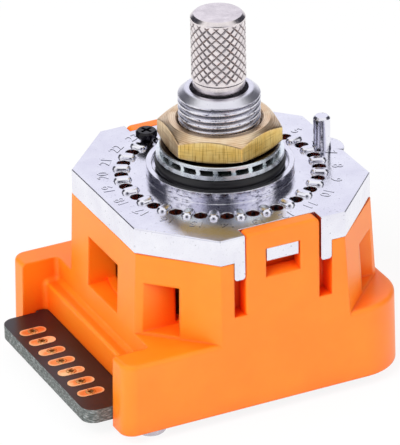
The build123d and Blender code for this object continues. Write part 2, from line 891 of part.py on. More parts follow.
def make_locating_pin():
    """Pin that keys the switch to its panel, with a tapered root, staked in the plate."""
    profile = Plane.XZ * Polygon(
        (0, plate_under),
        (pin_stake_radius, plate_under),
        (pin_stake_radius, plate_top),
        (pin_root_radius, plate_top),
        (pin_radius, plate_top + pin_root_rise),
        (pin_radius, pin_rise - pin_chamfer),
        (pin_radius - pin_chamfer, pin_rise),
        (0, pin_rise),
        align=None,
    )
    return Pos(pin_x, pin_y, 0) * revolve(profile, Axis.Z)


def build():
    """All pieces by name."""
    pieces = {
        "housing": make_housing(),
        "mounting_plate": make_mounting_plate(),
        "panel_o_ring": make_panel_o_ring(),
        "flat_washer": make_flat_washer(),
        "lock_washer": make_lock_washer(),
        "hex_nut": make_hex_nut(),
        "shaft": make_shaft(),
        "shaft_seal": make_shaft_seal(),
        "thrust_washer": make_thrust_washer(),
        "retaining_ring": make_retaining_ring(),
        "stop_disc": make_stop_disc(),
        "detent_wheel": make_detent_wheel(),
        "rotor": make_rotor(),
        "contact_comb_1": make_contact_comb(0, 1),
        "contact_comb_2": make_contact_comb(1, -1),
        "circuit_board": make_circuit_board(),
        "common_ring": ring_on_board(track_radius(0), track_width),
        "bottom_cover": make_bottom_cover(),
        "stop_screw": make_stop_screw(),
        "locating_pin": make_locating_pin(),
    }
    half_turn = Rot(0, 0, 180)
    pieces["detent_ball_left"] = make_ball()
    pieces["detent_ball_right"] = half_turn * make_ball()
    pieces["detent_spring_left"] = make_spring()
    pieces["detent_spring_right"] = half_turn * make_spring()
    for index in range(pad_count):
        pieces[f"pad_{index + 1}"] = make_pad(index)
    for bit in range(code_bits):
        pieces[f"code_ring_{bit + 1}"] = make_code_ring(bit)
    for name, (x, y) in board_screw_spots().items():
        pieces[f"base_screw_{name}"] = make_base_screw(x, y)
    return pieces


def write_parts():
    """One STEP file for each piece."""
    os.makedirs("parts", exist_ok=True)
    for name, body in build().items():
        export_step(body, os.path.join("parts", name + ".step"))


write_parts()
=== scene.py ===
import json
import math

import bmesh
import bpy
import numpy as np
from mathutils import Matrix, Vector


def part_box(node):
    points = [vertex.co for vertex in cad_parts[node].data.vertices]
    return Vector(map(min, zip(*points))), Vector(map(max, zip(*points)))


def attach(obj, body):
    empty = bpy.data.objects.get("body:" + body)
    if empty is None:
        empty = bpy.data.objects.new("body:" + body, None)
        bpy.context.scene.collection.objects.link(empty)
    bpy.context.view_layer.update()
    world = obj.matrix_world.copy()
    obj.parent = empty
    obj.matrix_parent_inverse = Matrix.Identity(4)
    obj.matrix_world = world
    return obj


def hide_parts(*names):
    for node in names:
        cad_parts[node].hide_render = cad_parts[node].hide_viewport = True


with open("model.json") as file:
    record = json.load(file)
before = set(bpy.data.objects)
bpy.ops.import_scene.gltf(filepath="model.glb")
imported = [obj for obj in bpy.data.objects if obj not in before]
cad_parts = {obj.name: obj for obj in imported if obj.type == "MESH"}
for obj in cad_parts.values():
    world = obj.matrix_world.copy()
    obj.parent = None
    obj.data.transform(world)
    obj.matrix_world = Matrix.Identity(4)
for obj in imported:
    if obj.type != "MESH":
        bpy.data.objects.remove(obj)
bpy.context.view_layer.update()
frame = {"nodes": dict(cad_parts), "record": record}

# Looks of a coded rotary switch: orange moulded housing, plated die-cast plate, knurled shaft, brass nut.
# Sizes are millimetres until they reach a mesh, which is in metres. Z is up along the shaft.

MM = 0.001
TURN = 2 * math.pi
record = frame["record"]
slot_of = {row["node"]: row["material_slot"] for row in record["subparts"]}
body_of = {node: body for body, nodes in record["behaviour"]["bodies"].items() for node in nodes}
mounts = {mount["name"]: mount for mount in record["mounts"]}


def box_mm(node):
    """Lowest and highest corner of a CAD node in millimetres."""
    low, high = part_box(node)
    return np.array(low) / MM, np.array(high) / MM


# Sizes read from the frame
bushing_radius = mounts["bushing_thread"]["dims"]["r_mm"]
shaft_radius = mounts["knob_shaft"]["dims"]["r_mm"]
bushing_top = box_mm("mounting_plate")[1][2]
shaft_low, shaft_top = box_mm("shaft")[0][2], box_mm("shaft")[1][2]
nut_low, nut_top = box_mm("hex_nut")[0][2], box_mm("hex_nut")[1][2]
floor_level = box_mm("base_screw_front_left")[0][2]


# Meshes

def turned_grid(radii, levels, steps):
    """Radius, angle and level of a profile turned about Z in equal steps, one row for each point of the
    profile."""
    angles = np.linspace(0, TURN, steps, endpoint=False)
    r, a = np.meshgrid(radii, angles, indexing="ij")
    z, _ = np.meshgrid(levels, angles, indexing="ij")
    return r, a, z


def turned_surface(name, r, a, z, closed=True, attributes=None):
    """Mesh through the points (r cos a, r sin a, z) of a grid: a quad joins each point to its next row
    and its next column. The columns close round Z, and a closed profile also joins its last row to its
    first."""
    index = np.arange(r.size).reshape(r.shape)
    right = np.roll(index, -1, axis=1)
    quads = [index, right, np.roll(right, -1, axis=0), np.roll(index, -1, axis=0)]
    if not closed:
        quads = [quad[:-1] for quad in quads]
    faces = np.stack([quad.ravel() for quad in quads], axis=1)
    points = np.stack([(r * np.cos(a)).ravel(), (r * np.sin(a)).ravel(), z.ravel()], axis=1) * MM
    mesh = bpy.data.meshes.new(name)
    mesh.from_pydata(points.tolist(), [], faces.tolist())
    for label, values in (attributes or {}).items():
        layer = mesh.attributes.new(label, "FLOAT", "POINT")
        layer.data.foreach_set("value", values.ravel().astype(np.float32))
    return mesh


def weld(mesh, distance=0.0002, outward=True):
    """Merges doubled points, drops what collapses, and turns the faces outwards."""
    work = bmesh.new()
    work.from_mesh(mesh)
    bmesh.ops.remove_doubles(work, verts=work.verts, dist=distance * MM)
    bmesh.ops.dissolve_degenerate(work, edges=work.edges, dist=distance * MM)
    if outward:
        bmesh.ops.recalc_face_normals(work, faces=work.faces)
    work.to_mesh(mesh)
    work.free()
    return mesh


def turned_ring(name, corners, steps):
    """Closed ring: a profile of radius and level corners turned about Z and joined end to start."""
    radii, levels = np.array(corners, float).T
    return weld(turned_surface(name, *turned_grid(radii, levels, steps)))


def smooth(mesh, sharp_above):
    """Smooth shading with sharp edges where faces meet at more than an angle in degrees."""
    mesh.polygons.foreach_set("use_smooth", [True] * len(mesh.polygons))
    mesh.set_sharp_from_angle(angle=math.radians(sharp_above))
    mesh.update()


def piece(name, mesh, material, node, sharp_above=35.0):
    """Object for a finished mesh, which stands for a CAD node and rides on that node's body."""
    smooth(mesh, sharp_above)
    made = bpy.data.objects.new(name, mesh)
    bpy.context.scene.collection.objects.link(made)
    made.data.materials.clear()
    made.data.materials.append(material)
    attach(made, body_of[node])
    return made


def node_copy(node):
    """Mesh of a CAD node with its loose triangles joined."""
    mesh = frame["nodes"][node].data.copy()
    mesh.materials.clear()
    for layer in list(mesh.uv_layers):
        mesh.uv_layers.remove(layer)
    if mesh.has_custom_normals:
        mesh.attributes.remove(mesh.attributes["custom_normal"])
    return weld(mesh, 0.0001, outward=False)


def carved(mesh, cutter):
    """Mesh with another closed mesh cut out of it."""
    base = bpy.data.objects.new("carve_base", mesh)
    tool = bpy.data.objects.new("carve_tool", cutter)
    for made in (base, tool):
        bpy.context.scene.collection.objects.link(made)
    change = base.modifiers.new("carve", "BOOLEAN")
    change.operation = "DIFFERENCE"
    change.solver = "EXACT"
    change.object = tool
    graph = bpy.context.evaluated_depsgraph_get()
    result = bpy.data.meshes.new_from_object(base.evaluated_get(graph))
    for made in (base, tool):
        bpy.data.objects.remove(made)
    return result


def joined(meshes, name):
    """One mesh of several."""
    work = bmesh.new()
    for mesh in meshes:
        work.from_mesh(mesh)
    made = bpy.data.meshes.new(name)
    work.to_mesh(made)
    work.free()
    return made


def rounded_profile(corners, radii, steps=5):
    """Profile through corner points. Each corner between the ends is rounded by an arc of its own radius,
    sampled with steps points. The radii of the ends aren't used."""
    corners = [np.array(c, float) for c in corners]
    points = [corners[0]]
    for before, corner, after, radius in zip(corners, corners[1:], corners[2:], radii[1:]):
        if radius <= 0:
            points.append(corner)
            continue
        into = (before - corner) / np.linalg.norm(before - corner)
        out = (after - corner) / np.linalg.norm(after - corner)
        half = math.acos(float(np.clip(into @ out, -1, 1))) / 2
        reach = radius / math.tan(half)
        bisector = (into + out) / np.linalg.norm(into + out)
        centre = corner + bisector * radius / math.sin(half)
        start = corner + into * reach - centre
        end = corner + out * reach - centre
        swing = math.pi - 2 * half
        share = np.linspace(0, 1, steps)[:, None]
        arc = (np.sin((1 - share) * swing) * start + np.sin(share * swing) * end) / math.sin(swing)
        points.extend(centre + arc)
    points.append(corners[-1])
    return np.array(points)


# Colours and nodes

def linear(hex_colour):
    """Linear colour of an sRGB hex value."""
    values = [int(hex_colour[i:i + 2], 16) / 255 for i in (1, 3, 5)]
    return tuple(v / 12.92 if v <= 0.04045 else ((v + 0.055) / 1.055) ** 2.4 for v in values) + (1.0,)


WHITE = linear("#FFFFFF")
METAL = {"Metallic": 1.0}


def per_mm(size):
    """Texture scale at which one cycle of Object coordinates is that many millimetres."""
    return 1000.0 / size


def add(tree, kind, inputs=None, **settings):
    """Adds a node with its settings. inputs gives each socket a value or another node's output."""
    made = tree.nodes.new(kind)
    for name, value in settings.items():
        setattr(made, name, value)
    for socket, value in (inputs or {}).items():
        if isinstance(value, bpy.types.NodeSocket):
            tree.links.new(value, made.inputs[socket])
        else:
            made.inputs[socket].default_value = value
    return made


def new_material(name):
    """Empty material, its tree, its shader and the output of Object coordinates."""
    material = bpy.data.materials.new(name)
    material.use_nodes = True
    tree = material.node_tree
    tree.nodes.clear()
    shader = add(tree, "ShaderNodeBsdfPrincipled")
    add(tree, "ShaderNodeOutputMaterial", {"Surface": shader.outputs["BSDF"]})
    place = add(tree, "ShaderNodeTexCoord").outputs["Object"]
    return material, tree, shader, place


def dress(tree, shader, colour, roughness, normal, uniform=None):
    """Feeds the shader its colour, roughness and normal, and sets uniform values on its own sockets."""
    for socket, value in (("Base Color", colour), ("Roughness", roughness), ("Normal", normal)):
        tree.links.new(value, shader.inputs[socket])
    for socket, value in (uniform or {}).items():
        shader.inputs[socket].default_value = value


def calc(tree, operation, *values, clamp=False):
    """Result of a math node on one to three values."""
    inputs = dict(enumerate(values))
    return add(tree, "ShaderNodeMath", inputs, operation=operation, use_clamp=clamp).outputs[0]


def length(tree, vector):
    """Length of a vector."""
    return add(tree, "ShaderNodeVectorMath", {0: vector}, operation="LENGTH").outputs["Value"]


def blend(tree, factor, first, second, kind="MIX"):
    """Colour that goes from the first to the second with the factor, or to their product with
    MULTIPLY."""
    inputs = {"Factor": factor, 6: first, 7: second}
    return add(tree, "ShaderNodeMix", inputs, data_type="RGBA", blend_type=kind).outputs[2]


def ramp(tree, factor, stops):
    """Colour ramp through (position, hex colour) stops."""
    made = add(tree, "ShaderNodeValToRGB", {"Fac": factor})
    while len(made.color_ramp.elements) < len(stops):
        made.color_ramp.elements.new(0.5)
    for element, (position, colour) in zip(made.color_ramp.elements, stops):
        element.position = position
        element.color = linear(colour)
    return made.outputs["Color"]


def spread(tree, value, low, high):
    """A value from 0 to 1 mapped to a range."""
    made = add(tree, "ShaderNodeMapRange", {"Value": value, "To Min": low, "To Max": high})
    return made.outputs["Result"]


def rise(tree, value, start, end, **settings):
    """0 up to the start and 1 from the end."""
    inputs = {"Value": value, "From Min": start, "From Max": end}
    return add(tree, "ShaderNodeMapRange", inputs, **settings).outputs["Result"]


def noise(tree, place, size, detail=3.0, roughness=0.55):
    """Noise whose blotches are about that many millimetres."""
    settings = {"Vector": place, "Scale": per_mm(size), "Detail": detail, "Roughness": roughness}
    return add(tree, "ShaderNodeTexNoise", settings).outputs["Fac"]


def streaks(tree, place, across, along, detail, roughness=0.5):
    """Noise with blotches of one size in millimetres across Z and another along it."""
    scale = (per_mm(across), per_mm(across), per_mm(along))
    stretched = add(tree, "ShaderNodeMapping", {"Vector": place, "Scale": scale}).outputs[0]
    settings = {"Vector": stretched, "Scale": 1.0, "Detail": detail, "Roughness": roughness}
    return add(tree, "ShaderNodeTexNoise", settings).outputs["Fac"]


def mark(tree, name):
    """Value that the mesh carries at its points under that name, 0 where it has none."""
    return add(tree, "ShaderNodeAttribute", attribute_name=name).outputs["Fac"]


def normal_z(tree, kind):
    """Z of the surface's normal, either the Normal or the True Normal."""
    normal = add(tree, "ShaderNodeNewGeometry").outputs[kind]
    return add(tree, "ShaderNodeSeparateXYZ", {0: normal}).outputs["Z"]


def soft_edge(tree, radius):
    """Normal that rounds the edges by a radius in millimetres."""
    return add(tree, "ShaderNodeBevel", {"Radius": radius * MM}, samples=6).outputs["Normal"]


def bump(tree, height, depth, strength=1.0, under=None):
    """Normal from a height, whose full range is that many millimetres deep, on another normal if there is
    one."""
    settings = {"Height": height, "Distance": depth * MM, "Strength": strength}
    if under:
        settings["Normal"] = under
    return add(tree, "ShaderNodeBump", settings).outputs["Normal"]


def mottled(name, darker, lighter, roughness, blotch, grain, uniform=None):
    """Plain material: blotches between two colours, which also vary the roughness, under a fine grain.
    blotch gives size and detail, grain gives size, depth and strength."""
    material, tree, shader, place = new_material(name)
    size, detail = blotch
    grain_size, depth, strength = grain
    cloud = noise(tree, place, size, detail)
    colour = ramp(tree, cloud, [(0.3, darker), (0.7, lighter)])
    normal = bump(tree, noise(tree, place, grain_size), depth, strength)
    dress(tree, shader, colour, spread(tree, cloud, *roughness), normal, uniform)
    return material


# Materials

# A wall nearer than this gives a face a painted red glow, for the light that the orange walls throw on
# it, and upright faces nearer the axis than this are scuffed.
painted_glow_reach = 5.0
collar_reach = 8.4
# Z of the normal under which a face is upright, and over which it is level.
upright_below = 0.5
level_above = 0.7
turned_roughness = 0.36
turning_pitch = 0.2
pad_pitch = 2.54
# Shares of a pad's half width at which its rim begins and is full.
rim_start = 0.62
rim_full = 0.85
# A ring wave of scale 1 repeats after this much of its coordinate.
WAVE_CYCLE = TURN / 20


def moulded_orange():
    """Glass-filled PBT, injection moulded: an even saturated orange, a painted red glow for the light it
    throws on itself in recesses, a soft sheen, a fine spark-eroded grain and edges softened by the mould."""
    material, tree, shader, place = new_material("moulded_orange_pbt")
    cloud = noise(tree, place, 6.0)
    open_colour = ramp(tree, cloud, [(0.3, "#FF7F10"), (0.7, "#FF8818")])
    reach = {"Distance": painted_glow_reach * MM}
    open_air = add(tree, "ShaderNodeAmbientOcclusion", reach, samples=6).outputs["AO"]
    # Painted glow: near walls the colour turns red, standing in for light bounced between the orange
    # walls.
    colour = blend(tree, rise(tree, open_air, 0.2, 0.8), linear("#FF4A02"), open_colour)
    grain = noise(tree, place, 0.14, detail=2.0)
    normal = bump(tree, grain, 0.006, 0.5, soft_edge(tree, 0.36))
    dress(tree, shader, colour, spread(tree, cloud, 0.34, 0.44), normal, {
        "IOR": 1.5,
        "Subsurface Weight": 0.12,
        "Subsurface Radius": (1.0, 0.3, 0.05),
        "Subsurface Scale": 0.9 * MM,
    })
    return material


def plated_zinc():
    """Zinc die casting with bright nickel: nearly a mirror with a lilac cast, waved by the casting, with
    small dark specks that scatter the reflections. The upright faces of the collar and bushing are
    scuffed, the thread's roots carry painted shade, and the turned bushing is more satin than the
    casting."""
    material, tree, shader, place = new_material("nickel_plated_die_cast")
    speck = noise(tree, place, 0.3, detail=5.0, roughness=0.7)
    silver = ramp(tree, noise(tree, place, 3.0), [(0.3, "#E6E5F0"), (0.7, "#F2F2F9")])
    fleck = ramp(tree, speck, [(0.30, "#6E6E80"), (0.37, "#FFFFFF"), (1.0, "#FFFFFF")])
    flecked = blend(tree, 0.8, silver, fleck, "MULTIPLY")
    # Painted shade: the groove mark darkens the thread's roots towards grey.
    shaded = blend(tree, mark(tree, "groove"), flecked, linear("#54545C"))
    steepness = calc(tree, "ABSOLUTE", normal_z(tree, "True Normal"))
    upright = calc(tree, "LESS_THAN", steepness, upright_below)
    flatten = {0: place, 1: (1, 1, 0)}
    flat_place = add(tree, "ShaderNodeVectorMath", flatten, operation="MULTIPLY").outputs[0]
    near = calc(tree, "LESS_THAN", length(tree, flat_place), collar_reach * MM)
    scuff = streaks(tree, place, 0.7, 0.22, detail=4.0, roughness=0.7)
    worn = ramp(tree, scuff, [(0.36, "#3E3E48"), (0.43, "#DEDEE8"), (0.52, "#FFFFFF")])
    colour = blend(tree, calc(tree, "MULTIPLY", upright, near), shaded, worn, "MULTIPLY")
    cast_roughness = spread(tree, speck, 0.06, 0.24)
    finishes = {"Factor": mark(tree, "turned"), 2: cast_roughness, 3: turned_roughness}
    roughness = add(tree, "ShaderNodeMix", finishes).outputs[0]
    wave = noise(tree, place, 0.9, detail=6.0, roughness=0.75)
    dress(tree, shader, colour, roughness, bump(tree, wave, 0.03, 0.45, soft_edge(tree, 0.14)), METAL)
    return material


def cast_figures():
    """The raised figures of the casting: plated like the plate, with painted grey shade on their flanks,
    so that they show as outlines."""
    material, tree, shader, place = new_material("nickel_plated_figures")
    # Painted shade: the colour goes grey as the face turns away from up.
    colour = ramp(tree, normal_z(tree, "Normal"), [(0.5, "#9A9AA8"), (0.95, "#F0F0F8")])
    normal = bump(tree, noise(tree, place, 0.9, detail=5.0), 0.02, 0.4)
    dress(tree, shader, colour, spread(tree, noise(tree, place, 0.3), 0.1, 0.24), normal, METAL)
    return material


def nickel_shaft():
    """Nickel on a turned steel shaft: warm silver, with dull dark grey painted shade in the knurl's
    grooves that is brown in spots."""
    material, tree, shader, place = new_material("nickel_plated_shaft")
    blotch = noise(tree, place, 0.9, detail=4.0)
    # Painted shade in the knurl's grooves, dark grey and brown in spots.
    groove_shade = calc(tree, "MULTIPLY", mark(tree, "groove"), spread(tree, blotch, 0.55, 1.0))
    land = ramp(tree, blotch, [(0.3, "#D8D0D2"), (0.7, "#F2EAEA")])
    spots = [(0.35, "#6A6462"), (0.52, "#5C5250"), (0.58, "#744A30"), (0.64, "#5A5452")]
    groove_shade_colour = ramp(tree, blotch, spots)
    normal = bump(tree, noise(tree, place, 0.15), 0.004, 0.5)
    dress(tree, shader, blend(tree, groove_shade, land, groove_shade_colour), spread(tree, groove_shade, 0.24, 0.6), normal, METAL)
    return material


def turned_brass():
    """Free-cutting brass: turned faces satin and tan with fine rings, drawn flats yellower with fine
    crossed scratches."""
    material, tree, shader, place = new_material("turned_brass")
    flat = mark(tree, "flat")
    blotch = noise(tree, place, 1.6, detail=4.0)
    tan = ramp(tree, blotch, [(0.3, "#E8C49C"), (0.7, "#FFECD0")])
    yellow = ramp(tree, blotch, [(0.3, "#F4CC68"), (0.7, "#FFE494")])
    scratches = [
        streaks(tree, place, 0.1, 2.0, detail=2.0),
        streaks(tree, place, 2.5, 0.1, detail=2.0),
    ]
    line_stops = [(0.3, "#BCA67C"), (0.45, "#FAF6EE"), (0.6, "#FFFFFF")]
    lines = [ramp(tree, way, line_stops) for way in scratches]
    drawn = blend(tree, flat, WHITE, lines[0])
    crossed = blend(tree, 0.6, drawn, lines[1], "MULTIPLY")
    wave = {
        "Vector": place,
        "Scale": per_mm(turning_pitch) * WAVE_CYCLE,
        "Distortion": 1.2,
        "Detail": 3.0,
        "Detail Scale": 2.0,
    }
    rings = add(tree, "ShaderNodeTexWave", wave, wave_type="RINGS", rings_direction="Z").outputs["Fac"]
    turned = blend(tree, flat, ramp(tree, rings, [(0.0, "#ECE4DA"), (0.6, "#FFFFFF")]), WHITE)
    marked = blend(tree, 1.0, crossed, turned, "MULTIPLY")
    colour = blend(tree, 1.0, blend(tree, flat, tan, yellow), marked, "MULTIPLY")
    normal = bump(tree, calc(tree, "ADD", *scratches), 0.005, 0.6)
    dress(tree, shader, colour, spread(tree, blotch, 0.3, 0.42), normal, METAL)
    return material


def zinc_steel():
    """Steel pressing with clear zinc plating: satin with a cold blue cast, with a painted dark brown
    shadow and reflection of the nut around it and painted dark teal shade in the slots."""
    material, tree, shader, place = new_material("clear_zinc_steel")
    blotch = noise(tree, place, 1.0, detail=4.0)
    sheet = ramp(tree, blotch, [(0.3, "#E0EAEE"), (0.7, "#FAFDFF")])
    recess = mark(tree, "recess")
    # Painted shade: dark brown for the shadow and reflection of the nut, dark teal in the slots.
    dark = ramp(tree, recess, [(0.5, "#2A1A10"), (0.9, "#1A3432")])
    colour = blend(tree, calc(tree, "MULTIPLY", recess, 2.0, clamp=True), sheet, dark)
    normal = bump(tree, noise(tree, place, 0.2), 0.004, 0.4)
    dress(tree, shader, colour, spread(tree, blotch, 0.22, 0.34), normal, METAL)
    return material


def nickel_screw():
    """Nickel-plated steel screw: bright and slightly warm."""
    return mottled("nickel_screw", "#B4ADB6", "#D0CAD0", (0.2, 0.34), (0.7, 4.0),
                   (0.15, 0.004, 0.4), METAL)


def black_oxide():
    """Blackened steel screw: near black with a hard gloss on its edges."""
    return mottled("black_oxide_steel", "#070609", "#0E0C14", (0.08, 0.2), (0.5, 3.0), (0.5, 0.06, 0.6),
                   {"Specular IOR Level": 0.3})


def black_rubber():
    """Nitrile ring, moulded: nearly black and satin, with a very fine grain."""
    return mottled("moulded_nitrile", "#0A090C", "#121115", (0.36, 0.46), (1.5, 3.0), (0.1, 0.005, 0.5))


def phenolic(name, darker, lighter):
    """Moulded phenolic of the hidden running parts: dull with a fine mould grain. The contact carrier is
    painted dark red, a painted glow for the red light that comes through the orange walls deep in the
    windows, and the others are brown-black with a red tint of the same painted glow."""
    return mottled(name, darker, lighter, (0.45, 0.6), (2.0, 3.0), (0.12, 0.005, 0.5))


def laminate_sheet():
    """Black fibre sheet under the board: matt, with a faint fleck."""
    material, tree, shader, place = new_material("black_fibre_sheet")
    fleck = noise(tree, place, 0.3, detail=5.0, roughness=0.7)
    colour = ramp(tree, fleck, [(0.35, "#1B1A1C"), (0.7, "#2E2C2F")])
    dress(tree, shader, colour, spread(tree, fleck, 0.55, 0.75), bump(tree, fleck, 0.008, 0.5))
    return material


def board_laminate():
    """Glass-epoxy board: a dark brown solder mask on both faces, and a grey-green cut edge with glass
    streaks."""
    material, tree, shader, place = new_material("solder_mask_on_glass_epoxy")
    side = calc(tree, "ABSOLUTE", normal_z(tree, "True Normal"))
    is_face = calc(tree, "GREATER_THAN", side, level_above)
    mask = ramp(tree, noise(tree, place, 4.0), [(0.3, "#140C0F"), (0.7, "#1E1419")])
    fibre = streaks(tree, place, 0.5, 0.14, detail=4.0)
    edge = ramp(tree, fibre, [(0.3, "#3E4240"), (0.5, "#5E6462"), (0.72, "#A2A6A6")])
    colour = blend(tree, is_face, edge, mask)
    dress(tree, shader, colour, spread(tree, is_face, 0.7, 0.32), bump(tree, fibre, 0.01, 0.3))
    return material


def bare_copper():
    """Copper pad with a clear organic finish: orange and satin, with a pale rim and paler patches where
    it is rubbed. The rim follows the distance from the oblong's middle line, the same for each pad of the
    row."""
    material, tree, shader, place = new_material("bare_copper")
    low, high = box_mm("pad_4")
    half_wide = (high[1] - low[1]) / 2
    half_line = (high[0] - low[0]) / 2 - half_wide
    parts = add(tree, "ShaderNodeSeparateXYZ", {0: place})
    x = calc(tree, "SUBTRACT", parts.outputs["X"], (low[0] + high[0]) / 2 * MM)
    past = calc(tree, "SUBTRACT", calc(tree, "ABSOLUTE", x), half_line * MM, clamp=True)
    y = calc(tree, "WRAP", parts.outputs["Y"], pad_pitch / 2 * MM, -pad_pitch / 2 * MM)
    away = length(tree, add(tree, "ShaderNodeCombineXYZ", {0: past, 1: y}).outputs[0])
    rim = rise(tree, away, rim_start * half_wide * MM, rim_full * half_wide * MM)
    blotch = noise(tree, place, 3.2, detail=6.0)
    inside = ramp(tree, blotch, [(0.34, "#E07A34"), (0.5, "#F59A50"), (0.62, "#FFD8A0")])
    edge = ramp(tree, blotch, [(0.32, "#F0AC70"), (0.68, "#FFE0B0")])
    colour = blend(tree, rim, inside, edge)
    normal = bump(tree, noise(tree, place, 0.1), 0.004, 0.6)
    dress(tree, shader, colour, spread(tree, blotch, 0.3, 0.42), normal, {"Metallic": 0.45})
    return material


def tinned_lining():
    """Tin on the wall and land of a plated hole: pale gold, broken by dark flux specks."""
    material, tree, shader, place = new_material("tinned_hole_wall")
    fleck = noise(tree, place, 0.22, detail=4.0, roughness=0.7)
    colour = ramp(tree, fleck, [(0.34, "#7A4618"), (0.5, "#D09448"), (0.66, "#FFE0A8")])
    normal = bump(tree, fleck, 0.03, 0.7)
    dress(tree, shader, colour, spread(tree, fleck, 0.25, 0.5), normal, {"Metallic": 0.8})
    return material


def spring_bronze():
    """Rolled contact bronze: reddish gold and satin."""
    return mottled("contact_bronze", "#B58A50", "#CFA468", (0.25, 0.4), (1.0, 4.0),
                   (0.1, 0.004, 0.4), METAL)


def hardened_steel():
    """Hardened steel of the balls, springs and retaining ring: grey and polished."""
    return mottled("hardened_steel", "#AFAFB4", "#CFCFD4", (0.12, 0.28), (0.8, 4.0),
                   (0.1, 0.003, 0.4), METAL)


materials = {
    "orange_plastic": moulded_orange(),
    "plated_zinc": plated_zinc(),
    "black_rubber": black_rubber(),
    "plated_steel": zinc_steel(),
    "brass": turned_brass(),
    "nickel_steel": nickel_shaft(),
    "spring_steel": hardened_steel(),
    # Brown-black with a painted red tint for the glow inside the housing.
    "black_plastic": phenolic("moulded_brown_phenolic", "#3C0F0A", "#4C140D"),
    "bronze": spring_bronze(),
    "board": board_laminate(),
    "copper": bare_copper(),
    "cover_sheet": laminate_sheet(),
    "black_steel": black_oxide(),
    "screw_steel": nickel_screw(),
}
materials["steel_ball"] = materials["spring_steel"]
# Painted glow: the rotor is dark red for the red light that comes through the orange walls into the
# windows.
carrier_painted_glow = phenolic("phenolic_with_painted_glow", "#62130A", "#781A0E")

for node, part in frame["nodes"].items():
    part.data.materials.clear()
    part.data.materials.append(carrier_painted_glow if node == "rotor" else materials[slot_of[node]])


# Shaft

knurl_starts = 18
knurl_depth = 0.1
knurl_crown = 0.06
knurl_half_width = 0.1
knurl_low = 10.35
knurl_high = 17.1
knurl_fade = 0.25
knurl_rows = 150
knurl_lean = math.cos(math.radians(45))
groove_gain = 1.5
shaft_chamfer = 0.38
shaft_steps = 384
shoulder_low = knurl_low - 0.2
neck_top = knurl_low - 0.4
neck_low = 6.9
neck_radius = shaft_radius - 0.15
journal_top = 6.7
journal_low = -3.8
journal_radius = 2.6
stem_top = -19.8
stem_radius = 1.5


def knurl(r, a, z):
    """Diamond knurl: two families of helical grooves cross at 45 degrees. In each, the distance to the
    nearest groove is the distance of starts * a / turn +- z / pitch from a whole number, times the pitch
    and cos 45. The lands between them are slightly crowned, so that each falls off towards its
    grooves."""
    pitch = TURN * shaft_radius / knurl_starts
    fade = np.clip((z - knurl_low) / knurl_fade, 0, 1) * np.clip((knurl_high - z) / knurl_fade, 0, 1)
    cut, crown = np.zeros_like(r), np.zeros_like(r)
    for way in (1, -1):
        phase = knurl_starts * a / TURN + way * z / pitch
        gap = np.abs(phase - np.round(phase)) * pitch * knurl_lean
        cut = np.maximum(cut, np.clip(1 - gap / knurl_half_width, 0, 1))
        crown = np.maximum(crown, 1 - gap / (pitch * knurl_lean / 2))
    cut, crown = cut * fade, crown ** 2 * fade
    # The second value is the groove mark, the share of painted shade in the knurl's grooves.
    return r - knurl_depth * cut - knurl_crown * crown, np.clip(cut * groove_gain, 0, 1)


def shaft_profile():
    """Profile of the shaft from the middle of its top to the end of its stem."""
    corners = [
        (0.0, shaft_top),
        (shaft_radius - shaft_chamfer, shaft_top),
        (shaft_radius, shaft_top - shaft_chamfer),
        (shaft_radius, shoulder_low),
        (neck_radius, neck_top),
        (neck_radius, neck_low),
        (journal_radius, journal_top),
        (journal_radius, journal_low),
        (stem_radius, stem_top),
        (stem_radius, shaft_low),
        (0.0, shaft_low),
    ]
    radii = [0, 0.15, 0.2, 0.08, 0.08, 0, 0, 0, 0, 0.1, 0]
    return rounded_profile(corners, radii)


def make_shaft():
    """Whole shaft as one turned surface, with many rows where the knurl is."""
    profile = shaft_profile()
    rows = []
    for start, end in zip(profile, profile[1:]):
        knurled = start[1] > knurl_high and end[1] < knurl_low
        count = knurl_rows if knurled else 1
        share = np.linspace(0, 1, count, endpoint=False)[:, None]
        rows.append(start + (end - start) * share)
    rows.append(profile[-1:])
    radii, levels = np.concatenate(rows).T
    r, a, z = turned_grid(radii, levels, shaft_steps)
    r, groove = knurl(r, a, z)
    mesh = weld(turned_surface("knurled_shaft", r, a, z, closed=False, attributes={"groove": groove}))
    made = piece("knurled_shaft", mesh, materials["nickel_steel"], "shaft", sharp_above=60)
    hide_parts("shaft")


make_shaft()


# Mounting plate with its thread

thread_pitch = 0.75
thread_depth = 0.42
thread_start = 0.66
thread_low = nut_top - 0.45
thread_high = bushing_top + 0.1
thread_first_row = thread_high - 0.13
thread_end = thread_high - 0.05
thread_runout = 0.1
dome_foot = thread_high - 0.1
thread_rows = 100
thread_turned = 0.6
crest_power = 2.2
groove_power = 5
nose_rise = 0.78
nose_radius = 3.72
mouth_radius = 3.18
mouth_floor = bushing_top - 1.2
mouth_lap = 0.1
sleeve_inner = bushing_radius - 0.6
sleeve_lap = 0.05
cutter_margin = 1.0
ring_steps = 240


def ring_cutter():
    """Ring that clears the upper bushing for the threaded sleeve, down to the mouth's floor on the
    inside."""
    inner, outer = sleeve_inner + 2 * sleeve_lap, bushing_radius + cutter_margin
    over = bushing_top + cutter_margin
    corners = [
        (inner, thread_low),
        (inner, mouth_floor + sleeve_lap),
        (mouth_radius - mouth_lap, mouth_floor + sleeve_lap),
        (mouth_radius - mouth_lap, over),
        (outer, over),
        (outer, thread_low),
    ]
    return turned_ring("ring_cutter", corners, ring_steps)


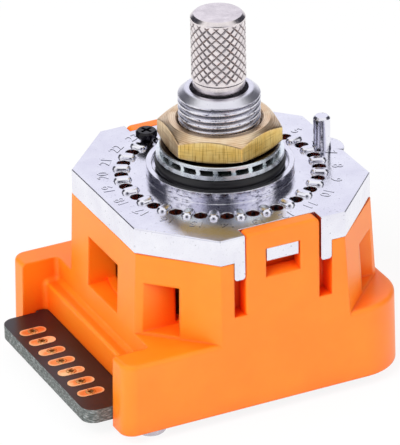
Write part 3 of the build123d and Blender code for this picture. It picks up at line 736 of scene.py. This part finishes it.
def threaded_sleeve():
    """Outside thread as a height over angle and level, with a dome above it that ends at the mouth. With
    the phase z / pitch - angle / turn, the radius falls from the crest by the depth times
    (1 - cos(turn * phase)) / 2 to the power 2.2, so that crests are broad and roots narrow."""
    top = bushing_top + nose_rise
    corners = [
        (mouth_radius, mouth_floor),
        (mouth_radius, top),
        (nose_radius, top),
        (bushing_radius, thread_high),
        (bushing_radius, thread_low),
    ]
    nose = rounded_profile(corners, [0, 0.1, 0.6, 0.25, 0], steps=8)[:-1]
    levels = np.linspace(thread_first_row, thread_low - sleeve_lap, thread_rows)
    outside = np.stack([np.full_like(levels, bushing_radius), levels], axis=1)
    hidden = [(sleeve_inner, levels[-1]), (sleeve_inner, mouth_floor)]
    r, a, z = turned_grid(*np.concatenate([nose, outside, hidden]).T, ring_steps)
    phase = z / thread_pitch - a / TURN + thread_start
    wave = 0.5 - 0.5 * np.cos(TURN * phase)
    fade = np.clip((thread_end - z) / thread_runout, 0, 1) * (r > bushing_radius - 0.001)
    # The groove mark is the share of painted shade in the thread's roots.
    marks = {
        "groove": wave ** groove_power * fade,
        "turned": np.where(z > dome_foot, 1.0, thread_turned),
    }
    cut = thread_depth * wave ** crest_power * fade
    return weld(turned_surface("threaded_sleeve", r - cut, a, z, attributes=marks))


def make_plate():
    """The casting with a threaded sleeve and its domed nose in place of the plain bushing."""
    casting = carved(node_copy("mounting_plate"), ring_cutter())
    mesh = joined([casting, threaded_sleeve()], "threaded_plate")
    made = piece("threaded_plate", mesh, materials["plated_zinc"], "mounting_plate", sharp_above=32)
    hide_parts("mounting_plate")


make_plate()


# Numerals round the stop holes

plate_top = -1.3
numeral_count = 24
numeral_radius = 12.75
numeral_size = 1.75
numeral_rise = 0.05


def make_numerals():
    """Raised numbers round the ring, each with its foot towards the shaft."""
    meshes = []
    for index in range(numeral_count):
        curve = bpy.data.curves.new("numeral", "FONT")
        curve.body = str(index + 1)
        curve.size = numeral_size * MM
        curve.align_x = "CENTER"
        curve.align_y = "CENTER"
        curve.extrude = numeral_rise * MM
        curve.resolution_u = 3
        text = bpy.data.objects.new("numeral", curve)
        bpy.context.scene.collection.objects.link(text)
        graph = bpy.context.evaluated_depsgraph_get()
        mesh = bpy.data.meshes.new_from_object(text.evaluated_get(graph))
        bpy.data.objects.remove(text)
        angle = 90 - 360 / numeral_count * (index + 0.5)
        mesh.transform(Matrix.Translation((0, numeral_radius * MM, plate_top * MM)))
        mesh.transform(Matrix.Rotation(math.radians(angle - 90), 4, "Z"))
        meshes.append(mesh)
    piece("plate_numerals", joined(meshes, "plate_numerals"), cast_figures(), "mounting_plate")


make_numerals()


# Hexagonal nut

nut_flats = 12.0
nut_bore = bushing_radius + 0.06
nut_turn = -6.3
nut_edge = 0.06
nut_face_radius = 5.5
nut_low_widening = 0.2
nut_cones = (30, 25)
bore_chamfer = 0.2
countersink_depth = 0.35
countersink_width = 0.28
lip_width = 0.06
lip_depth = 0.03
nut_rows = 60
nut_steps = 360
flat_edge = 0.05
tarnish = 0.25


def soft_least(a, b, width):
    """Smaller of two values, blended over a width so that the edge between them is rounded."""
    return 0.5 * (a + b - np.sqrt((a - b) ** 2 + width ** 2))


def make_nut():
    """Hexagon r = flats / 2 / cos(a), cut by a cone of 30 degrees at the top and one of 25 degrees at the
    bottom, and drilled through. One flat is tarnished, so it counts as flat only in part."""
    low, high = nut_low, nut_top
    outer_rows = np.linspace(high, low, nut_rows)
    inner = [
        (nut_bore, low + bore_chamfer),
        (nut_bore, high - countersink_depth),
        (nut_bore + countersink_width - lip_width, high - lip_depth),
        (nut_bore + countersink_width, high),
    ]
    angles = np.linspace(0, TURN, nut_steps, endpoint=False)
    sector = (angles - math.radians(nut_turn) + math.pi / 6) % (math.pi / 3) - math.pi / 6
    hexagon = nut_flats / 2 / np.cos(sector)
    slope, slope_low = (1 / math.tan(math.radians(cone)) for cone in nut_cones)
    cone_top = nut_face_radius + (high - outer_rows)[:, None] * slope
    cone_low = nut_face_radius + nut_low_widening + (outer_rows - low)[:, None] * slope_low
    radius = soft_least(hexagon[None, :], cone_top, nut_edge * 2)
    radius = soft_least(radius, cone_low, nut_edge * 2)
    flat = 1.0 - np.clip((hexagon[None, :] - radius) / flat_edge, 0, 1)
    tarnished = np.cos(angles - math.radians(nut_turn + 180)) > math.cos(math.pi / 6)
    flat = flat * np.where(tarnished, tarnish, 1.0)
    ring = np.ones((1, nut_steps))
    rows_r = [ring * r for r, _ in inner]
    rows_r += [ring * (nut_face_radius - nut_edge), radius, ring * (nut_bore + bore_chamfer)]
    rows_z = [ring * z for _, z in inner]
    rows_z += [ring * high, outer_rows[:, None] * ring, ring * low]
    rows_f = [ring * 0] * 5 + [flat, ring * 0]
    r, z, f = (np.concatenate(rows) for rows in (rows_r, rows_z, rows_f))
    a = np.broadcast_to(angles, r.shape)
    mesh = weld(turned_surface("brass_nut", r, a, z, attributes={"flat": f}))
    made = piece("brass_nut", mesh, materials["brass"], "hex_nut", sharp_above=50)
    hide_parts("hex_nut")


make_nut()


# Seal and toothed washer

tooth_count = 21
tooth_width = 0.6
tooth_twist = 0.06
tooth_flank = 0.06
tooth_steps = 26
tooth_inset = 0.05
washer_bore = bushing_radius + 0.1
washer_sheet = 0.45
washer_rounding = 0.08
slot_depth = 1.2
washer_inset = 0.2
seal_inset = 0.24
seal_steps = 48
nut_shadow = 6.4
shadow_edge = 0.15


def make_seal():
    """Squeezed ring as high as the node and a little narrower: radius middle + half_wide * cos(t), level
    centre + half * sin(t)."""
    low, high = box_mm("panel_o_ring")
    half, centre = (high[2] - low[2]) / 2, (high[2] + low[2]) / 2
    half_wide = half - seal_inset / 2
    middle = high[0] - seal_inset - half_wide
    around = np.linspace(0, TURN, seal_steps, endpoint=False)
    corners = np.stack([middle + half_wide * np.cos(around), centre + half * np.sin(around)], axis=1)
    mesh = turned_ring("panel_seal", corners, ring_steps)
    made = piece("panel_seal", mesh, materials["black_rubber"], "panel_o_ring")
    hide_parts("panel_o_ring")


def make_toothed_washer():
    """Ring with a row of narrow twisted teeth below. In the row the radius steps between the slot's floor
    and the rim by the distance of count * angle / turn from the nearest whole number, shifted a little by
    the level. The recess mark, which sets painted shade, is 1 in a slot, a half in the nut's painted
    shadow on the top face and 0 elsewhere."""
    low, high = box_mm("lock_washer")
    rim, top, floor = high[0] - washer_inset, high[2], low[2]
    step = top - washer_sheet
    shadow = [(washer_bore, top), (nut_shadow, top)]
    sheet = [
        (nut_shadow + shadow_edge, top),
        (rim - washer_rounding, top),
        (rim, top - washer_rounding),
        (rim, step + tooth_inset),
        (rim - tooth_inset, step),
    ]
    teeth = [(rim, level) for level in np.linspace(step, floor, 5)]
    under_nut = np.array([0.5] * len(shadow) + [0.0] * (len(sheet) + len(teeth) + 1))[:, None]
    in_row = np.array([0.0] * len(shadow + sheet) + [1.0] * len(teeth) + [0.0])[:, None]
    radii, levels = np.array(shadow + sheet + teeth + [(washer_bore, floor)]).T
    r, a, z = turned_grid(radii, levels, tooth_count * tooth_steps)
    phase = tooth_count * a / TURN + tooth_twist * (z - floor) / (step - floor)
    away = np.abs(phase - np.round(phase)) * TURN * rim / tooth_count
    tooth = np.clip((tooth_width / 2 - away) / tooth_flank + 0.5, 0, 1)
    r = r - in_row * (slot_depth * (1 - tooth) + tooth_inset)
    recess = in_row * (1 - tooth) + under_nut
    mesh = weld(turned_surface("toothed_washer", r, a, z, attributes={"recess": recess}))
    made = piece("toothed_washer", mesh, materials["plated_steel"], "lock_washer")
    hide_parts("lock_washer")


make_seal()
make_toothed_washer()


# Plated holes of the pads

pad_nodes = [row["node"] for row in record["subparts"] if row["node"].startswith("pad_")]
lining_inner = 0.31
lining_outer = 0.395
lining_steps = 32
land_radius = 0.6
land_rise = 0.03
land_slope = 0.05


def make_hole_linings():
    """In each pad a thin turned tube through the board, with a small land on the copper."""
    foot = box_mm("circuit_board")[0][2]
    copper_top = box_mm(pad_nodes[0])[1][2]
    corners = [
        (lining_inner, foot),
        (lining_inner, copper_top + land_rise),
        (land_radius - land_slope, copper_top + land_rise),
        (land_radius, copper_top),
        (lining_outer, copper_top),
        (lining_outer, foot),
    ]
    meshes = []
    for node in pad_nodes:
        low, high = box_mm(node)
        mesh = turned_ring("lining", corners, lining_steps)
        centre = Vector(((low[0] + high[0]) / 2, (low[1] + high[1]) / 2, 0))
        mesh.transform(Matrix.Translation(centre * MM))
        meshes.append(mesh)
    piece("plated_hole_linings", joined(meshes, "plated_hole_linings"), tinned_lining(), pad_nodes[0])


make_hole_linings()


# Studio

lamp_target = (0, 0, -5)
floor_rings = (0.01, 40.0, 120.0, 400.0, 2500.0)
floor_steps = 96
floor_whiteness = 0.88
studio_turn = 25.6
ceiling_start = 0.72
ceiling_full = 0.84
matt_light = 0.62


def make_camera():
    """Camera at the photograph's place, found from the switch's own edges. It is turned by azimuth,
    elevation and roll."""
    place = Vector((-182.326, -375.296, 208.563)) * MM
    azimuth, elevation, roll = (math.radians(v) for v in (-25.5929, 27.3902, -1.0851))
    focal_px, long_side_px, sensor = 4287.97, 445.0, 36.0
    back = Vector((
        math.sin(azimuth) * math.cos(elevation),
        -math.cos(azimuth) * math.cos(elevation),
        math.sin(elevation),
    ))
    right = Vector((math.cos(azimuth), math.sin(azimuth), 0))
    up = back.cross(right)
    turned_right = right * math.cos(roll) + up * math.sin(roll)
    turned_up = up * math.cos(roll) - right * math.sin(roll)
    data = bpy.data.cameras.new("photo_camera")
    data.lens = focal_px * sensor / long_side_px
    data.sensor_width = sensor
    data.clip_start, data.clip_end = 0.01, 10.0
    camera = bpy.data.objects.new("photo_camera", data)
    bpy.context.scene.collection.objects.link(camera)
    turning = Matrix((turned_right, turned_up, back)).transposed().to_4x4()
    camera.matrix_world = Matrix.Translation(place) @ turning
    bpy.context.scene.camera = camera


def make_floor():
    """Round white floor under the feet. It shows nearly white to the camera and to mirrors and keeps the
    shadow."""
    grid = turned_grid(floor_rings, [floor_level] * len(floor_rings), floor_steps)
    mesh = weld(turned_surface("floor", *grid, closed=False))
    material = bpy.data.materials.new("studio_floor")
    material.use_nodes = True
    tree = material.node_tree
    tree.nodes.clear()
    path = add(tree, "ShaderNodeLightPath")
    seen = calc(tree, "MAXIMUM", path.outputs["Is Camera Ray"], path.outputs["Is Glossy Ray"])
    share = spread(tree, seen, 0.0, floor_whiteness)
    matt = add(tree, "ShaderNodeBsdfDiffuse", {"Color": WHITE})
    white = add(tree, "ShaderNodeEmission", {"Color": WHITE, "Strength": 1.0})
    mix = add(tree, "ShaderNodeMixShader", {0: share, 1: matt.outputs[0], 2: white.outputs[0]})
    add(tree, "ShaderNodeOutputMaterial", {"Surface": mix.outputs[0]})
    made = bpy.data.objects.new("floor", mesh)
    made.data.materials.append(material)
    bpy.context.scene.collection.objects.link(made)


def make_world():
    """White to the camera and to matt surfaces. Mirrors see a soft studio that depends on the angle from
    the camera's side, |atan2(x, -y)| / pi: a dark gap at the camera, then a pale and a white panel on
    each side, dark gaps beyond them and a nearly white wall behind, all closed by a white ceiling."""
    world = bpy.data.worlds.new("studio")
    bpy.context.scene.world = world
    world.use_nodes = True
    tree = world.node_tree
    tree.nodes.clear()
    path = add(tree, "ShaderNodeLightPath")
    way = add(tree, "ShaderNodeTexCoord").outputs["Generated"]
    turning = {"Vector": way, "Rotation": (0, 0, math.radians(studio_turn))}
    turned = add(tree, "ShaderNodeMapping", turning, vector_type="POINT")
    parts = add(tree, "ShaderNodeSeparateXYZ", {0: turned.outputs[0]})
    ahead = calc(tree, "MULTIPLY", parts.outputs["Y"], -1.0)
    side = calc(tree, "ABSOLUTE", calc(tree, "ARCTAN2", parts.outputs["X"], ahead))
    walls = ramp(tree, calc(tree, "DIVIDE", side, math.pi), [
        (0.0, "#4A4A54"),
        (0.11, "#4A4A54"),
        (0.16, "#D4D4E0"),
        (0.25, "#E2E2EC"),
        (0.28, "#FFFFFF"),
        (0.47, "#FFFFFF"),
        (0.53, "#3A3A44"),
        (0.80, "#3A3A44"),
        (0.87, "#F4F4FF"),
        (1.0, "#F4F4FF"),
    ])
    height = rise(tree, parts.outputs["Z"], ceiling_start, ceiling_full, interpolation_type="SMOOTHSTEP")
    to_mirror = blend(tree, path.outputs["Is Glossy Ray"], WHITE, blend(tree, height, walls, WHITE))
    colour = blend(tree, path.outputs["Is Camera Ray"], to_mirror, WHITE)
    strength = spread(tree, path.outputs["Is Diffuse Ray"], 1.0, matt_light)
    sky = add(tree, "ShaderNodeBackground", {"Color": colour, "Strength": strength})
    add(tree, "ShaderNodeOutputWorld", {"Surface": sky.outputs[0]})


def make_lamp(name, place, size, power):
    """Square soft lamp that faces the middle of the switch. Place and size are millimetres, power is
    watts."""
    data = bpy.data.lights.new(name, "AREA")
    data.shape = "SQUARE"
    data.size = size * MM
    data.energy = power
    lamp = bpy.data.objects.new(name, data)
    bpy.context.scene.collection.objects.link(lamp)
    lamp.visible_glossy = False
    lamp.location = Vector(place) * MM
    lamp.rotation_euler = (Vector(lamp_target) * MM - lamp.location).to_track_quat("-Z", "Y").to_euler()


make_camera()
make_floor()
make_world()
make_lamp("key_softbox", (-330, -160, 330), 260, 1.82)
make_lamp("fill_softbox", (220, -320, 200), 260, 0.26)
bpy.context.scene.view_settings.view_transform = "Standard"
